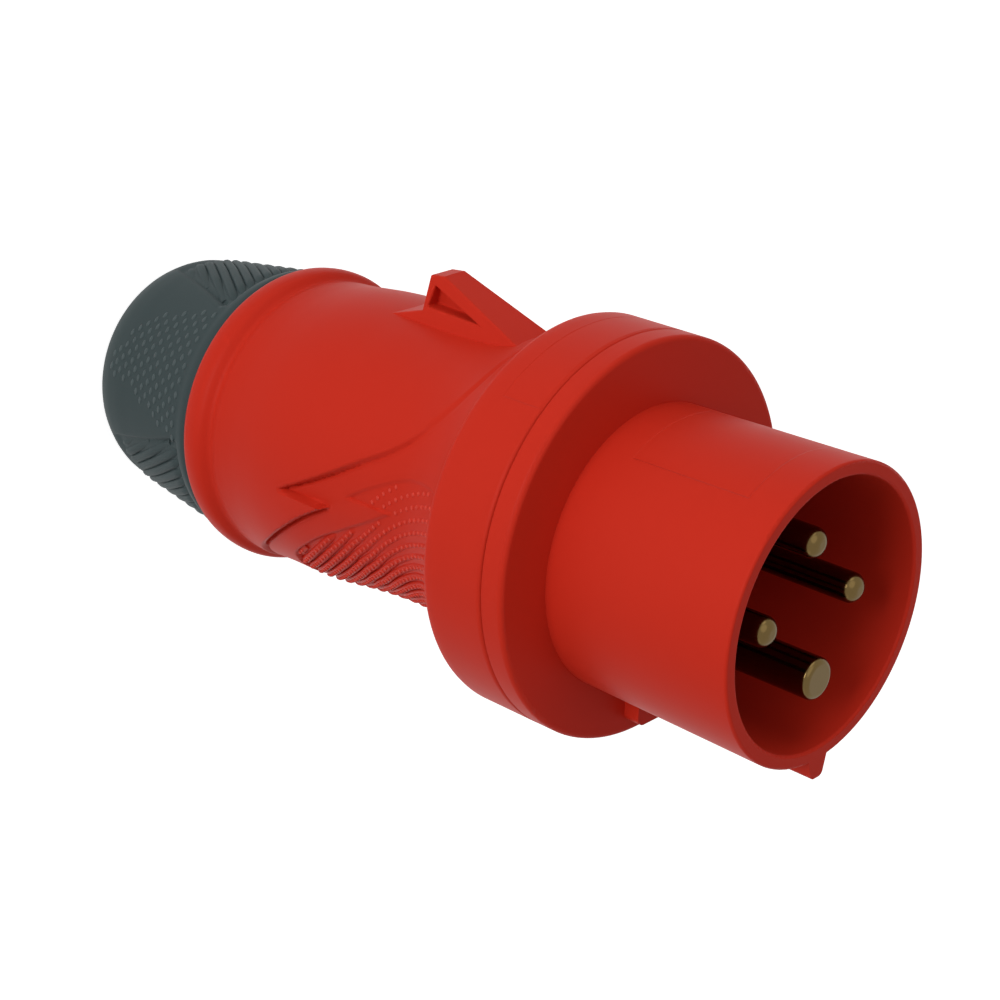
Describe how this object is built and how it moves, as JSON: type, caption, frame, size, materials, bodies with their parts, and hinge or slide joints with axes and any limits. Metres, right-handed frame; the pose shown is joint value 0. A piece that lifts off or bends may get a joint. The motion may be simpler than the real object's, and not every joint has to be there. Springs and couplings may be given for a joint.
{
  "type": "industrial pin and sleeve plug",
  "caption": "Red round plug with a keyed collar round its contact pins, a flange, a ribbed grip barrel with a catch lug, and a cable gland nut.",
  "frame": {"origin": "centre of the gland nut's end face, on the plug's axis", "axes": "+Z along the axis towards the mouth of the collar, catch lug towards -Y, key rib and earth pin towards +Y"},
  "size_m": [0.0682, 0.069, 0.157],
  "materials": {
    "red_plastic": "fine matt moulded",
    "grey_plastic": "fine matt moulded",
    "insulator": "moulded",
    "pin_brass": "turned, bright",
    "screw_steel": "zinc plated",
    "seal_rubber": "matt"
  },
  "bodies": {
    "housing": {"rear_housing": "red_plastic", "cable_seal": "seal_rubber", "clamp_cage": "grey_plastic"},
    "front": {"front_sleeve": "red_plastic", "contact_carrier": "insulator", "pin_retainer": "insulator", "phase_pin_1": "pin_brass", "phase_pin_2": "pin_brass", "phase_pin_3": "pin_brass", "earth_pin": "pin_brass", "carrier_screws": "screw_steel", "flange_seal": "seal_rubber", "terminal_frame_1": "pin_brass", "terminal_frame_2": "pin_brass", "terminal_frame_3": "pin_brass", "terminal_frame_4": "pin_brass", "terminal_screw_1": "screw_steel", "terminal_screw_2": "screw_steel", "terminal_screw_3": "screw_steel", "terminal_screw_4": "screw_steel"},
    "gland_slide": {"slip_ring": "grey_plastic"},
    "nut": {"gland_nut": "grey_plastic"}
  },
  "joints": [
    {"name": "housing_twist", "type": "hinge", "parent": "housing", "child": "front", "pos_m": [0, 0, 0.11], "axis": [0, 0, 1], "range_deg": [0, 26]},
    {"name": "nut_travel", "type": "slide", "parent": "housing", "child": "gland_slide", "axis": [0, 0, -1], "range_m": [0, 0.0091]},
    {"name": "nut_turn", "type": "hinge", "parent": "gland_slide", "child": "nut", "pos_m": [0, 0, 0.01], "axis": [0, 0, -1], "range_deg": [0, 1080]}
  ],
  "couplings": [
    {"joint": "nut_travel", "follows": "nut_turn", "m_per_rad": 0.00047746}
  ]
}
